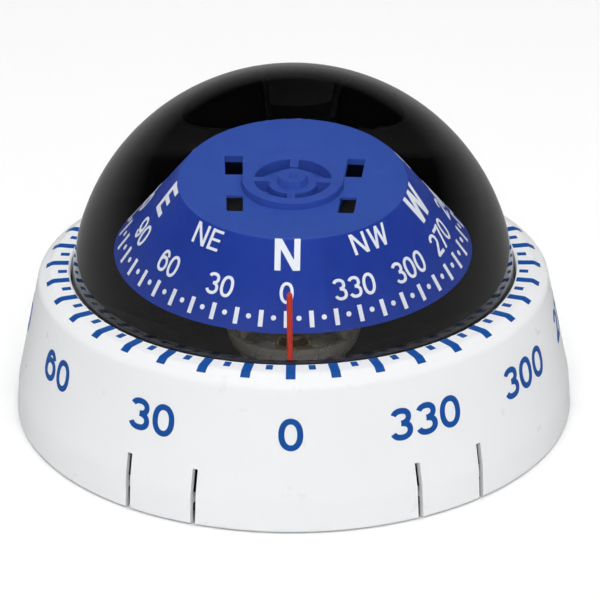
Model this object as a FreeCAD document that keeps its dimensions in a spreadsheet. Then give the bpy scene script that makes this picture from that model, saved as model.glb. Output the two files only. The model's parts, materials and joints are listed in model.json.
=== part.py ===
import FreeCAD, Part
import math
import os
import re
import Sketcher
from FreeCAD import Placement, Rotation, Vector

# Deck-mount dome compass with a turning course ring.
# Millimetres. The origin is on the axis at the mounting surface, +Z is up, and the lubber pin and the
# ring's 0 mark face -Y, towards the reader.

os.makedirs("parts", exist_ok=True)
doc = FreeCAD.newDocument("deck_compass")

# ---------------------------------------------------------------- driving dimensions
DIMENSIONS = [
    ("foot_radius", 54.0, "course ring, outside at the foot"),
    ("foot_gap", 0.15, "course ring clear of the deck"),
    ("knee_radius", 53.55, "course ring, end of the upright band"),
    ("knee_height", 6.3, "height of that knee"),
    ("shoulder_radius", 49.0, "top of the cone"),
    ("shoulder_height", 27.35, "height of the shoulder"),
    ("bend_radius", 46.3, "outer edge of the flat top"),
    ("top_height", 28.9, "height of the flat top"),
    ("ring_bore", 42.85, "hole that the dome stands in"),
    ("ring_wall", 2.0, "course ring wall"),
    ("skirt_wall", 1.1, "thinner wall that lets the snap fingers bend"),
    ("finger_count", 6, "snap fingers"),
    ("finger_half_width", 6.8, "finger centre line to slit centre line"),
    ("slit_width", 1.0, "saw slit beside each finger"),
    ("slit_height", 11.0, "top of the slits"),
    ("finger_azimuth", 26.25, "first finger, degrees from the 0 mark"),
    ("barb_reach", 50.3, "inner radius of the snap barbs"),
    ("barb_low", 0.7, "underside of the barbs"),
    ("barb_high", 1.8, "top of the barbs"),
    ("rib_reach", 50.7, "inner radius of the support rib"),
    ("rib_low", 3.9, "underside of the support rib"),
    ("rib_high", 5.1, "top of the support rib"),
    ("dome_radius", 42.6, "outside radius of the dome"),
    ("dome_wall", 2.0, "dome wall"),
    ("dome_centre", 24.4, "height of the dome's centre"),
    ("flange_radius", 44.6, "dome and bowl flanges"),
    ("flange_top", 21.2, "top of the dome flange"),
    ("flange_joint", 19.0, "face between the flanges"),
    ("flange_low", 16.5, "underside of the bowl flange"),
    ("flange_screw_circle", 42.5, "radius of the flange screw circle"),
    ("bowl_radius", 40.3, "bowl wall outside"),
    ("bowl_bore", 38.2, "bowl wall inside"),
    ("liner_top", 28.0, "top of the bowl wall"),
    ("bowl_low", 3.5, "underside of the bowl"),
    ("floor_top", 5.5, "inside of the bowl floor"),
    ("floor_round", 5.0, "round between bowl floor and wall"),
    ("seal_radius", 39.87, "centre line of the dome seal"),
    ("seal_section", 0.7, "section radius of the dome seal"),
    ("seal_height", 20.7, "height of the dome seal"),
    ("base_bore", 30.0, "opening in the base plate"),
    ("base_radius", 51.4, "rim of the base plate"),
    ("base_low", 1.0, "underside of the base plate"),
    ("base_high", 3.5, "top of the base plate"),
    ("rim_low", 2.3, "underside of the rim that the fingers grip"),
    ("rim_step", 49.2, "radius where the rim starts"),
    ("mount_circle", 46.8, "radius of the mounting screw circle"),
    ("mount_hole", 2.15, "mounting hole radius"),
    ("capsule_circle", 36.0, "radius of the capsule screw circle"),
    ("capsule_shank", 3.9, "length of the capsule screws"),
    ("boss_top", 6.9, "top of the bosses over those screws"),
    ("vent_radius", 13.0, "opening under the diaphragm"),
    ("cover_radius", 17.4, "diaphragm and its cover"),
    ("cover_circle", 15.3, "radius of the cover screw circle"),
    ("plug_offset", 24.0, "fill plug from the axis"),
    ("gimbal_height", 21.5, "height of both gimbal axes"),
    ("gimbal_inner", 32.6, "gimbal ring inside"),
    ("gimbal_outer", 35.4, "gimbal ring outside"),
    ("gimbal_half", 2.0, "half the gimbal ring's height"),
    ("pin_radius", 0.75, "gimbal pins"),
    ("pin_play", 0.05, "running clearance round the pins"),
    ("lug_face", 36.0, "inner face of the bowl's lugs"),
    ("lug_half", 3.0, "half the width of a lug"),
    ("ear_face", 31.2, "outer face of the frame's ears"),
    ("strap", 0.8, "thickness of the frame's arms"),
    ("cup_rim", 8.9, "rim of the pivot cup"),
    ("cup_foot", 7.2, "foot of the pivot cup"),
    ("cup_high", 18.2, "height of that rim"),
    ("cup_low", 14.9, "underside of the pivot cup"),
    ("cup_wall", 0.6, "pivot cup wall"),
    ("plate_low", 14.1, "underside of the frame under the cup"),
    ("weight_radius", 6.9, "counterweight"),
    ("weight_low", 10.4, "underside of the counterweight"),
    ("post_radius", 1.6, "threaded foot of the pivot post"),
    ("pivot_height", 35.0, "point of the pivot"),
    ("needle_radius", 0.5, "pivot needle"),
    ("lubber_radius", 31.0, "lubber pin from the axis"),
    ("lubber_top", 37.6, "tip of the lubber pin"),
    ("card_top", 39.9, "top of the card, level"),
    ("card_top_radius", 16.75, "flat top of the card"),
    ("card_rim", 26.65, "rim of the card, level"),
    ("card_rim_radius", 24.7, "rim of the card"),
    ("card_wall", 1.0, "card wall"),
    ("card_dip", 1.9, "magnetic dip of the card, degrees"),
    ("card_heading", 1.65, "card reading at rest, degrees"),
    ("hub_radius", 7.3, "raised hub on the card"),
    ("hub_high", 41.1, "top of the hub"),
    ("window_across", 8.4, "window and magnet centres from the card's N-S line"),
    ("window_half", 1.25, "half the width of a window"),
    ("window_near", 3.0, "near end of a window from the card's E-W line"),
    ("window_far", 7.9, "far end of a window from that line"),
    ("tray_low", 33.8, "underside of the magnet trays"),
    ("magnet_width", 2.7, "bar magnet across"),
    ("magnet_length", 14.4, "bar magnet along"),
    ("magnet_height", 2.8, "bar magnet deep"),
]
sheet = doc.addObject("Spreadsheet::Sheet", "Dims")
for row, (alias, size, note) in enumerate(DIMENSIONS, start=1):
    sheet.set(f"A{row}", alias)
    sheet.set(f"B{row}", str(size))
    sheet.set(f"C{row}", note)
    sheet.setAlias(f"B{row}", alias)
doc.recompute()
ALIASES = {alias for alias, _, _ in DIMENSIONS}


# ---------------------------------------------------------------- helpers
def bound(text):
    """The expression text with each dimension's name pointing at its cell."""
    def cell(word):
        return "Dims." + word.group(0) if word.group(0) in ALIASES else word.group(0)

    return re.sub(r"[a-z_]+", cell, str(text))


def value(text):
    """The number that an expression gives now."""
    return float(sheet.evalExpression(bound(text)))


def origin_plane(body, role):
    return next(item for item in body.Origin.OriginFeatures if item.Role == role)


def outline(body, name, plane, corners, arcs=None):
    """A closed sketch through the corners, each (across, up) as expressions.

    arcs maps the number of a side to (radius, bulge): that side is an arc, and bulge is +1 where it
    bulges to the left of its direction of travel and -1 where it bulges to the right.
    """
    arcs = arcs or {}
    sketch = body.newObject("Sketcher::SketchObject", name)
    sketch.AttachmentSupport = (origin_plane(body, plane), [""])
    sketch.MapMode = "FlatFace"
    spots = [Vector(value(x), value(y), 0) for x, y in corners]
    count = len(spots)
    for side in range(count):
        start, end = spots[side], spots[(side + 1) % count]
        if side not in arcs:
            sketch.addGeometry(Part.LineSegment(start, end), False)
            continue
        radius, bulge = value(arcs[side][0]), arcs[side][1]
        chord = end - start
        left = Vector(-chord.y, chord.x, 0).normalize() * bulge
        half = chord.Length / 2
        rise = radius - math.sqrt(max(radius * radius - half * half, 0))
        sketch.addGeometry(Part.Arc(start, (start + end) / 2 + left * rise, end), False)
    ends = []
    for side in range(count):
        near_first = sketch.getPoint(side, 1).distanceToPoint(spots[side]) < 1e-4
        ends.append((1, 2) if near_first else (2, 1))
    for side in range(count):
        following = (side + 1) % count
        sketch.addConstraint(Sketcher.Constraint(
            "Coincident", side, ends[side][1], following, ends[following][0]))
    for side, (across, up) in enumerate(corners):
        for kind, text, axis in (("DistanceX", across, -2), ("DistanceY", up, -1)):
            size = value(text)
            if abs(size) < 1e-9:
                sketch.addConstraint(Sketcher.Constraint("PointOnObject", side, ends[side][0], axis))
                continue
            number = sketch.addConstraint(Sketcher.Constraint(kind, -1, 1, side, ends[side][0], size))
            sketch.renameConstraint(number, f"corner_{side}_{'across' if axis == -2 else 'up'}")
            sketch.setExpression(f"Constraints[{number}]", bound(text))
        if side in arcs:
            number = sketch.addConstraint(Sketcher.Constraint("Radius", side, value(arcs[side][0])))
            sketch.setExpression(f"Constraints[{number}]", bound(arcs[side][0]))
    return sketch


def turned(name, corners, arcs=None):
    """A body turned about the vertical axis from an outline given as (radius, height) corners."""
    body = doc.addObject("PartDesign::Body", name)
    sketch = outline(body, name + "_outline", "XZ_Plane", corners, arcs)
    turn = body.newObject("PartDesign::Revolution", name + "_turn")
    turn.Profile = sketch
    turn.ReferenceAxis = (sketch, ["V_Axis"])
    turn.Angle = 360
    doc.recompute()
    return body


def circles_at(shape, places):
    """Names of the full circular edges about the axis at the given (radius, height) places."""
    names = []
    for number, edge in enumerate(shape.Edges, start=1):
        if edge.Degenerated or not isinstance(edge.Curve, Part.Circle):
            continue
        curve = edge.Curve
        on_axis = math.hypot(curve.Center.x, curve.Center.y) < 1e-3
        if on_axis and any(abs(curve.Radius - value(r)) < 0.02 and abs(curve.Center.z - value(z)) < 0.02
                           for r, z in places):
            names.append(f"Edge{number}")
    return names


def rounded(body, name, radius, places):
    """Round the circular edges of a turned body at the given places; radius is an expression."""
    base = body.Tip
    names = circles_at(base.Shape, places)
    if len(names) != len(places):
        raise RuntimeError(f"{name}: {len(names)} of {len(places)} edges found")
    fillet = body.newObject("PartDesign::Fillet", name)
    fillet.Base = (base, names)
    fillet.setExpression("Radius", bound(radius))
    body.Tip = fillet
    doc.recompute()


def place(item, x, y, z):
    for letter, text in (("x", x), ("y", y), ("z", z)):
        item.setExpression(f"Placement.Base.{letter}", bound(text))


def box(name, low, high):
    """A block between two corners, each given as three expressions."""
    item = doc.addObject("Part::Box", name)
    for side, a, b in zip(("Length", "Width", "Height"), low, high):
        item.setExpression(side, bound(f"({b}) - ({a})"))
    place(item, *low)
    return item


def rod(name, radius, start, length, axis="Z"):
    """A cylinder from start along an axis; x, y and z of start are expressions."""
    item = doc.addObject("Part::Cylinder", name)
    item.setExpression("Radius", bound(radius))
    item.setExpression("Height", bound(length))
    turns = {"X": Rotation(Vector(0, 1, 0), 90), "Y": Rotation(Vector(1, 0, 0), -90), "Z": Rotation()}
    item.Placement = Placement(Vector(), turns[axis])
    place(item, *start)
    return item


def fused(name, items):
    item = doc.addObject("Part::MultiFuse", name)
    item.Shapes = items
    doc.recompute()
    return item


def grouped(name, items):
    """Separate solids kept together as one object."""
    item = doc.addObject("Part::Compound", name)
    item.Links = items
    doc.recompute()
    return item


def cut(name, base, tool):
    item = doc.addObject("Part::Cut", name)
    item.Base = base
    item.Tool = tool
    doc.recompute()
    if item.Shape.Volume > base.Shape.Volume - 1e-6:
        raise RuntimeError(f"{name} removes nothing")
    return item


def circle_of(name, source, count, first=0.0):
    """count copies of source's shape, evenly spaced about the vertical axis."""
    item = doc.addObject("Part::Feature", name)
    copies = []
    for step in range(count):
        copy = source.Shape.copy()
        copy.rotate(Vector(), Vector(0, 0, 1), first + 360.0 * step / count)
        copies.append(copy)
    item.Shape = Part.makeCompound(copies)
    return item


SUBPARTS = []


def keep(item, label):
    """Name a finished sub-part and list it for export."""
    item.Label = label
    SUBPARTS.append(item)
    return item


# ---------------------------------------------------------------- course ring with its snap fingers
def course_ring():
    slope = "(foot_radius - knee_radius) / (knee_height - foot_gap)"
    inner_rib_low = f"foot_radius - skirt_wall - {slope} * (rib_low - foot_gap)"
    inner_rib_high = f"foot_radius - skirt_wall - {slope} * (rib_high - foot_gap)"
    taper = "(knee_radius - shoulder_radius) / (shoulder_height - knee_height)"
    thick_low, thin_high = "slit_height + 2", "slit_height + 0.8"
    ring = turned("ring_body", [
        ("foot_radius", "foot_gap"), ("knee_radius", "knee_height"),
        ("shoulder_radius", "shoulder_height"), ("bend_radius", "top_height"),
        ("ring_bore", "top_height"), ("ring_bore", "top_height - ring_wall"),
        ("bend_radius - 0.8", "top_height - ring_wall"),
        ("shoulder_radius - ring_wall", "shoulder_height - 1.2"),
        (f"knee_radius - {taper} * ({thick_low} - knee_height) - ring_wall", thick_low),
        (f"knee_radius - {taper} * ({thin_high} - knee_height) - skirt_wall", thin_high),
        ("knee_radius - skirt_wall", "knee_height"), (inner_rib_high, "rib_high"),
        ("rib_reach", "rib_high"), ("rib_reach", "rib_low"), (inner_rib_low, "rib_low"),
        ("foot_radius - skirt_wall", "foot_gap")])
    rounded(ring, "knee_round", 9.0, [("knee_radius", "knee_height")])
    rounded(ring, "shoulder_round", 1.6, [("shoulder_radius", "shoulder_height")])
    rounded(ring, "bend_round", 1.2, [("bend_radius", "top_height")])
    rounded(ring, "lip_round", 0.35, [("ring_bore", "top_height")])
    rounded(ring, "foot_round", 0.5, [("foot_radius", "foot_gap")])

    middle = "foot_radius - skirt_wall / 2"
    barb_sketch = outline(ring, "barb_outline", "XZ_Plane", [
        ("barb_reach", "barb_high"), ("barb_reach + 0.5", "barb_low"), (middle, "barb_low"),
        (middle, "barb_high")])
    barb = ring.newObject("PartDesign::Revolution", "barb")
    barb.Profile = barb_sketch
    barb.ReferenceAxis = (barb_sketch, ["V_Axis"])
    barb.Midplane = True
    barb.Angle = 11.0
    ring.Tip = barb
    doc.recompute()

    slits = []
    for side in (-1, 1):
        centre = f"{side} * finger_half_width"
        name = f"slit_{'left' if side < 0 else 'right'}"
        slit_sketch = outline(ring, name + "_outline", "YZ_Plane", [
            (f"{centre} - slit_width / 2", "-1"), (f"{centre} + slit_width / 2", "-1"),
            (f"{centre} + slit_width / 2", "slit_height"), (f"{centre} - slit_width / 2", "slit_height")])
        before = ring.Tip.Shape.Volume
        slit = ring.newObject("PartDesign::Pocket", name)
        slit.Profile = slit_sketch
        slit.Reversed = True
        slit.Length = 60.0
        ring.Tip = slit
        doc.recompute()
        if ring.Tip.Shape.Volume > before - 1e-6:
            raise RuntimeError(f"{name} removes nothing")
        slits.append(slit)

    fingers = ring.newObject("PartDesign::PolarPattern", "fingers")
    fingers.Originals = [barb] + slits
    fingers.Axis = (next(item for item in ring.Origin.OriginFeatures if item.Role == "Z_Axis"), [""])
    fingers.Angle = 360
    fingers.setExpression("Occurrences", bound("finger_count"))
    ring.Tip = fingers
    doc.recompute()
    # The fingers start on +X; turning the ring brings the first one beside the 0 mark on -Y.
    ring.Placement = Placement(Vector(), Rotation(Vector(0, 0, 1), -90 - value("finger_azimuth")))
    return keep(ring, "course_ring")


# ---------------------------------------------------------------- fixed housing
def mounting_base():
    collar_top = "base_high + 4.5"
    plate = turned("base_plate", [
        ("base_bore", "base_low"), ("rim_step", "base_low"), ("rim_step", "rim_low"),
        ("base_radius", "rim_low"), ("base_radius", "base_high"), ("bowl_radius + 1.9", "base_high"),
        ("bowl_radius + 1.9", collar_top), ("bowl_radius + 0.3", collar_top),
        ("bowl_radius + 0.3", "base_high"), ("base_bore", "base_high")])
    rounded(plate, "base_rim_round", 0.5, [("base_radius", "base_high")])
    mount = rod("mount_hole_one", "mount_hole", ("mount_circle", "0", "base_low - 1"), "5")
    shank = rod("capsule_hole_one", "1.35", ("capsule_circle", "0", "base_low - 1"), "5")
    recess = rod("capsule_recess_one", "2.5", ("capsule_circle", "0", "base_low - 1"), "2.3")
    doc.recompute()
    tools = grouped("base_holes", [circle_of("mount_holes", mount, 4, 45),
                                   circle_of("capsule_holes", shank, 4), circle_of("recesses", recess, 4)])
    holes = fused("base_hole_tools", [tools])
    return keep(cut("base_drilled", plate, holes), "mounting_base")


def base_gasket():
    inner, outer = "base_bore + 0.5", "rim_step - 0.4"
    foam = turned("gasket_blank", [(inner, "0"), (outer, "0"), (outer, "base_low"), (inner, "base_low")])
    mount = rod("gasket_hole_one", "mount_hole + 0.35", ("mount_circle", "0", "-1"), "3")
    capsule = rod("gasket_relief_one", "2.8", ("capsule_circle", "0", "-1"), "3")
    doc.recompute()
    tools = grouped("gasket_holes", [circle_of("gasket_mounts", mount, 4, 45),
                                     circle_of("gasket_reliefs", capsule, 4)])
    return keep(cut("gasket_punched", foam, tools), "base_gasket")


def dome():
    inner = "dome_radius - dome_wall"
    shell = turned("dome_body", [
        (inner, "flange_joint"), ("flange_radius", "flange_joint"), ("flange_radius", "flange_top"),
        ("dome_radius", "flange_top"), ("dome_radius", "dome_centre"), ("0", "dome_centre + dome_radius"),
        ("0", f"dome_centre + {inner}"), (inner, "dome_centre")],
        arcs={4: ("dome_radius", -1), 6: (inner, 1)})
    rounded(shell, "dome_foot_round", 0.6, [("dome_radius", "flange_top")])
    hole = rod("dome_thread_one", "0.8", ("flange_screw_circle", "0", "flange_joint - 1"), "2.6")
    doc.recompute()
    return keep(cut("dome_drilled", shell, circle_of("dome_threads", hole, 8, 22.5)), "dome")


def bowl():
    shell = turned("bowl_body", [
        ("vent_radius", "bowl_low"), ("bowl_radius", "bowl_low"), ("bowl_radius", "flange_low"),
        ("flange_radius", "flange_low"), ("flange_radius", "flange_joint"),
        ("bowl_radius", "flange_joint"), ("bowl_radius", "seal_height - 0.8"),
        ("bowl_radius - 1.2", "seal_height - 0.8"), ("bowl_radius - 1.2", "seal_height + 0.8"),
        ("bowl_radius", "seal_height + 0.8"),
        ("bowl_radius", "liner_top"), ("bowl_bore", "liner_top"), ("bowl_bore", "floor_top"),
        ("vent_radius + 5", "floor_top"), ("vent_radius + 5", "floor_top + 2.5"),
        ("vent_radius", "floor_top + 2.5")])
    rounded(shell, "floor_fillet", "floor_round", [("bowl_bore", "floor_top")])
    rounded(shell, "liner_round", 0.4, [("bowl_bore", "liner_top")])
    additions = [shell]
    for side in (-1, 1):
        name = "front" if side < 0 else "back"
        reach = ("lug_face", "bowl_bore + 0.6") if side > 0 else ("-bowl_bore - 0.6", "-lug_face")
        additions.append(box(f"lug_{name}", ("-lug_half", reach[0], "gimbal_height - 4"),
                             ("lug_half", reach[1], "gimbal_height + 2")))
    boss = rod("boss_one", "2.9", ("capsule_circle", "0", "floor_top - 1"), "boss_top - floor_top + 1")
    doc.recompute()
    additions.append(circle_of("bosses", boss, 4))
    additions.append(rod("plug_boss", "4.5", ("0", "plug_offset", "floor_top - 1"), "4"))
    whole = fused("bowl_whole", additions)

    cuts = []
    for side in (-1, 1):
        name = "front" if side < 0 else "back"
        reach = ("lug_face - 1", "bowl_bore - 0.1") if side > 0 else ("-bowl_bore + 0.1", "-lug_face + 1")
        cuts.append(rod(f"lug_bore_{name}", "pin_radius + pin_play", ("0", reach[0], "gimbal_height"),
                        "bowl_bore - 0.1 - lug_face + 1", "Y"))
        cuts.append(box(f"lug_slot_{name}", ("-pin_radius - pin_play", reach[0], "gimbal_height"),
                        ("pin_radius + pin_play", reach[1], "gimbal_height + 3")))
    flange_hole = rod("bowl_flange_hole_one", "1.1", ("flange_screw_circle", "0", "flange_low - 1"), "6")
    capsule_hole = rod("bowl_thread_one", "1.25", ("capsule_circle", "0", "bowl_low - 1"),
                       "capsule_shank")
    cover_hole = rod("cover_thread_one", "0.8", ("cover_circle", "0", "bowl_low - 1"), "4.9")
    doc.recompute()
    cuts.append(circle_of("bowl_flange_holes", flange_hole, 8, 22.5))
    cuts.append(circle_of("bowl_threads", capsule_hole, 4))
    cuts.append(circle_of("cover_threads", cover_hole, 6))
    cuts.append(rod("plug_bore", "2.0", ("0", "plug_offset", "bowl_low - 1"), "7"))
    return keep(cut("bowl_cut", whole, fused("bowl_tools", cuts)), "bowl")


def dome_seal():
    seal = doc.addObject("Part::Torus", "dome_seal_ring")
    seal.setExpression("Radius1", bound("seal_radius"))
    seal.setExpression("Radius2", bound("seal_section"))
    place(seal, "0", "0", "seal_height")
    doc.recompute()
    return keep(seal, "dome_seal")


def screw_group(label, circle, shank, length, head, head_height, face, count, first=0.0):
    """Cheese-head screws standing up from the height face, heads below it, each with a driver slot."""
    stem = label + "_one"
    body = fused(stem + "_solid", [
        rod(stem + "_shank", shank, (circle, "0", f"{face} - 0.1"), f"{length} + 0.1"),
        rod(stem + "_head", head, (circle, "0", f"{face} - {head_height}"), head_height)])
    slot = box(stem + "_slot", (f"{circle} - 0.3", "-5", f"{face} - {head_height} - 1"),
               (f"{circle} + 0.3", "5", f"{face} - {head_height} * 0.55"))
    doc.recompute()
    one = cut(stem + "_slotted", body, slot)
    return keep(circle_of(label + "_group", one, count, first), label)


def diaphragm():
    rubber = turned("diaphragm_body", [
        ("0", "bowl_low + 0.3"), ("8.6", "bowl_low + 0.3"), ("11.6", "bowl_low - 0.8"),
        ("cover_radius", "bowl_low - 0.8"), ("cover_radius", "bowl_low"), ("12.2", "bowl_low"),
        ("9.2", "bowl_low + 1.1"), ("0", "bowl_low + 1.1")])
    hole = rod("diaphragm_hole_one", "1.05", ("cover_circle", "0", "bowl_low - 2"), "4")
    doc.recompute()
    return keep(cut("diaphragm_punched", rubber, circle_of("diaphragm_holes", hole, 6)), "diaphragm")


def diaphragm_cover():
    disc = turned("cover_body", [("1.5", "bowl_low - 2"), ("cover_radius", "bowl_low - 2"),
                                 ("cover_radius", "bowl_low - 0.8"), ("1.5", "bowl_low - 0.8")])
    rounded(disc, "cover_round", 0.4, [("cover_radius", "bowl_low - 2")])
    hole = rod("cover_hole_one", "1.05", ("cover_circle", "0", "0"), "4")
    doc.recompute()
    return keep(cut("cover_drilled", disc, circle_of("cover_holes", hole, 6)), "diaphragm_cover")


def fill_plug():
    solid = fused("plug_solid", [
        rod("plug_shank", "1.95", ("0", "plug_offset", "bowl_low - 0.7"), "5"),
        rod("plug_head", "3.6", ("0", "plug_offset", "bowl_low - 2.1"), "1.5")])
    slot = box("plug_slot", ("-5", "plug_offset - 0.4", "bowl_low - 3"),
               ("5", "plug_offset + 0.4", "bowl_low - 1.4"))
    doc.recompute()
    keep(cut("plug_slotted", solid, slot), "fill_plug")
    washer = rod("plug_washer_outer", "3.5", ("0", "plug_offset", "bowl_low - 0.6"), "0.6")
    hole = rod("plug_washer_hole", "2.05", ("0", "plug_offset", "bowl_low - 1"), "2")
    doc.recompute()
    keep(cut("plug_washer", washer, hole), "fill_plug_seal")


def pin_retainers():
    """Caps that close the slots over the gimbal ring's pins."""
    caps = []
    for side in (-1, 1):
        name = "front" if side < 0 else "back"
        reach = ("lug_face + 0.1", "bowl_bore - 0.3")
        if side < 0:
            reach = ("-bowl_bore + 0.3", "-lug_face - 0.1")
        tongue = box(f"tongue_{name}", ("-pin_radius", reach[0], "gimbal_height + 0.9"),
                     ("pin_radius", reach[1], "gimbal_height + 2.1"))
        plate = box(f"cap_{name}", ("-lug_half + 0.4", reach[0], "gimbal_height + 2"),
                    ("lug_half - 0.4", reach[1], "gimbal_height + 2.8"))
        caps.append(fused(f"retainer_{name}", [tongue, plate]))
    return keep(grouped("retainers", caps), "pin_retainers")


# ---------------------------------------------------------------- gimbal ring: rolls about Y
def gimbal_ring():
    band = turned("gimbal_band", [
        ("gimbal_inner", "gimbal_height - gimbal_half"), ("gimbal_outer", "gimbal_height - gimbal_half"),
        ("gimbal_outer", "gimbal_height + gimbal_half"), ("gimbal_inner", "gimbal_height + gimbal_half")])
    rounded(band, "gimbal_band_round", 0.5, [("gimbal_outer", "gimbal_height + gimbal_half"),
                                             ("gimbal_inner", "gimbal_height + gimbal_half")])
    along = rod("ring_pin_bore", "pin_radius", ("0", "-40", "gimbal_height"), "80", "Y")
    across = rod("frame_pin_bore", "pin_radius + pin_play", ("-40", "0", "gimbal_height"), "80", "X")
    keep(cut("gimbal_bored", band, grouped("gimbal_bores", [along, across])), "gimbal_ring")
    reach = "bowl_bore - 0.4 - gimbal_inner - 0.3"
    keep(grouped("ring_pin_pair", [
        rod("ring_pin_front", "pin_radius", ("0", "-bowl_bore + 0.4", "gimbal_height"), reach, "Y"),
        rod("ring_pin_back", "pin_radius", ("0", "gimbal_inner + 0.3", "gimbal_height"), reach, "Y")]),
        "ring_pins")


def lubber_pin():
    """Red reading pin on a saddle that straddles the front of the gimbal ring."""
    top = "gimbal_height + gimbal_half"
    pin = turned("lubber_stem", [
        ("0", top), ("0.5", top), ("0.5", "lubber_top - 0.4"), ("0.25", "lubber_top"), ("0", "lubber_top")])
    pin.setExpression("Placement.Base.y", bound("-lubber_radius"))
    foot = box("lubber_foot", ("-1.8", "-gimbal_outer + 0.4", top),
               ("1.8", "-lubber_radius + 1.0", f"{top} + 1.1"))
    skirt = box("lubber_skirt", ("-1.8", "-gimbal_inner + 0.1", f"{top} - 3.0"),
                ("1.8", "-gimbal_inner + 0.9", f"{top} + 1.1"))
    return keep(fused("lubber_whole", [pin, foot, skirt]), "lubber_pin")


# ---------------------------------------------------------------- gimbal frame: pitches about X
def gimbal_frame():
    """Black frame: a plate under the cup and two arms that rise to the pins."""
    plate = turned("frame_plate", [
        ("post_radius + 0.05", "plate_low"), ("cup_foot", "plate_low"), ("cup_foot", "cup_low"),
        ("post_radius + 0.05", "cup_low")])
    arm_low = "gimbal_height - 2.2"
    ear = "gimbal_height + 2.1"
    pieces = [plate]
    for side in (-1, 1):
        name = "port" if side < 0 else "starboard"
        body = doc.addObject("PartDesign::Body", f"arm_{name}")
        corners = [("cup_foot - 0.4", "plate_low"), ("11", "plate_low"), ("26.5", arm_low),
                   ("ear_face", arm_low), ("ear_face", ear), ("ear_face - 1", ear),
                   ("ear_face - 1", f"{arm_low} + strap"), ("26.4", f"{arm_low} + strap"),
                   ("10.9", "plate_low + strap"), ("cup_foot - 0.4", "plate_low + strap")]
        corners = [(f"{side} * ({across})", up) for across, up in corners]
        sketch = outline(body, f"arm_{name}_outline", "XZ_Plane", corners)
        pad = body.newObject("PartDesign::Pad", f"arm_{name}_pad")
        pad.Profile = sketch
        pad.Midplane = True
        pad.Length = 6.4
        pieces.append(body)
    doc.recompute()
    whole = fused("frame_whole", pieces)
    pin_hole = rod("frame_pin_hole", "pin_radius", ("-40", "0", "gimbal_height"), "80", "X")
    post_hole = rod("frame_post_hole", "post_radius + 0.05", ("0", "0", "plate_low - 1"), "3")
    keep(cut("frame_bored", whole, fused("frame_tools", [pin_hole, post_hole])), "gimbal_frame")
    length = "gimbal_outer - 0.3 - ear_face + 1.4"
    keep(grouped("frame_pin_pair", [
        rod("frame_pin_port", "pin_radius", ("-gimbal_outer + 0.3", "0", "gimbal_height"), length, "X"),
        rod("frame_pin_starboard", "pin_radius", ("ear_face - 1.4", "0", "gimbal_height"), length, "X")]),
        "frame_pins")


def pivot_cup():
    """Spun metal cup that the post stands in, clamped to the frame's plate."""
    floor = "cup_low + cup_wall"
    spun = turned("cup_body", [
        ("post_radius + 0.05", "cup_low"), ("cup_foot", "cup_low"), ("cup_foot + 0.3", "cup_low + 0.35"),
        ("cup_rim", "cup_high"), ("cup_rim - cup_wall", "cup_high"), ("cup_foot - 0.4", floor),
        ("post_radius + 0.05", floor)],
        arcs={2: ("5.0", -1), 4: ("4.6", 1)})
    return keep(spun, "pivot_cup")


def pivot_stack():
    bore = "post_radius + 0.05"
    weight = turned("weight_body", [
        (bore, "weight_low"), ("weight_radius", "weight_low"), ("weight_radius", "plate_low"),
        (bore, "plate_low")])
    rounded(weight, "weight_round", 0.6, [("weight_radius", "weight_low")])
    keep(weight, "counterweight")

    floor = "cup_low + cup_wall"
    post = turned("post_body", [
        ("0", "weight_low - 1.0"), ("post_radius", "weight_low - 1.0"), ("post_radius", floor),
        ("post_radius + 0.9", floor), ("post_radius + 0.9", f"{floor} + 0.5"),
        ("post_radius - 0.3", f"{floor} + 1.3"), ("post_radius - 0.3", "pivot_height - 6"),
        ("needle_radius + 0.2", "pivot_height - 4.4"), ("needle_radius", "pivot_height - 4.4"),
        ("needle_radius", "pivot_height - 8"), ("0", "pivot_height - 8")],
        arcs={4: ("2.2", -1)})
    keep(post, "pivot_post")

    tip = "pivot_height - 0.03"
    needle = turned("needle_body", [
        ("0", "pivot_height - 8"), ("needle_radius", "pivot_height - 8"),
        ("needle_radius", "pivot_height - 1.4"), ("0.05", tip), ("0", tip)])
    keep(needle, "pivot_needle")

    nut = doc.addObject("Part::Prism", "nut_blank")
    nut.Polygon = 6
    nut.Circumradius = 2.9
    nut.Height = 1.5
    place(nut, "0", "0", "weight_low - 1.5")
    bore = rod("nut_bore", "post_radius", ("0", "0", "weight_low - 2"), "3")
    doc.recompute()
    keep(cut("nut_bored", nut, bore), "post_nut")


# ---------------------------------------------------------------- card assembly: turns on the pivot
def tilted(item):
    """Set a card piece at its resting heading and dip, both about the pivot point."""
    pivot = Vector(0, 0, value("pivot_height"))
    heading = Rotation(Vector(0, 0, 1), -value("card_heading"))
    dip = Rotation(Vector(1, 0, 0), -value("card_dip"))
    item.Placement = Placement(Vector(), heading.multiply(dip), pivot)
    return item


def card():
    under = "card_top - card_wall"
    shell = turned("card_body", [
        ("hub_radius + 0.05", under), ("card_top_radius - 0.7", under),
        ("card_rim_radius - 1.2", "card_rim"), ("card_rim_radius", "card_rim"),
        ("card_top_radius", "card_top"), ("hub_radius + 0.05", "card_top")])
    rounded(shell, "card_edge_round", 0.25, [("card_top_radius", "card_top")])
    tools = []
    for across in (-1, 1):
        x = f"{across} * window_across"
        left, right = f"{x} - window_half", f"{x} + window_half"
        for near, far in (("-window_far", "-window_near"), ("window_near", "window_far")):
            tools.append(box(f"window_{len(tools) + 1}", (left, near, "card_top - 3"),
                             (right, far, "card_top + 1")))
        # the wall between a front and a back window is thinned from below
        tools.append(box(f"relief_{len(tools) + 1}", (left, "-window_near - 0.1", f"{under} - 0.1"),
                         (right, "window_near + 0.1", "card_top - 0.4")))
    return keep(tilted(cut("card_pierced", shell, fused("windows", tools))), "card")


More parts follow.
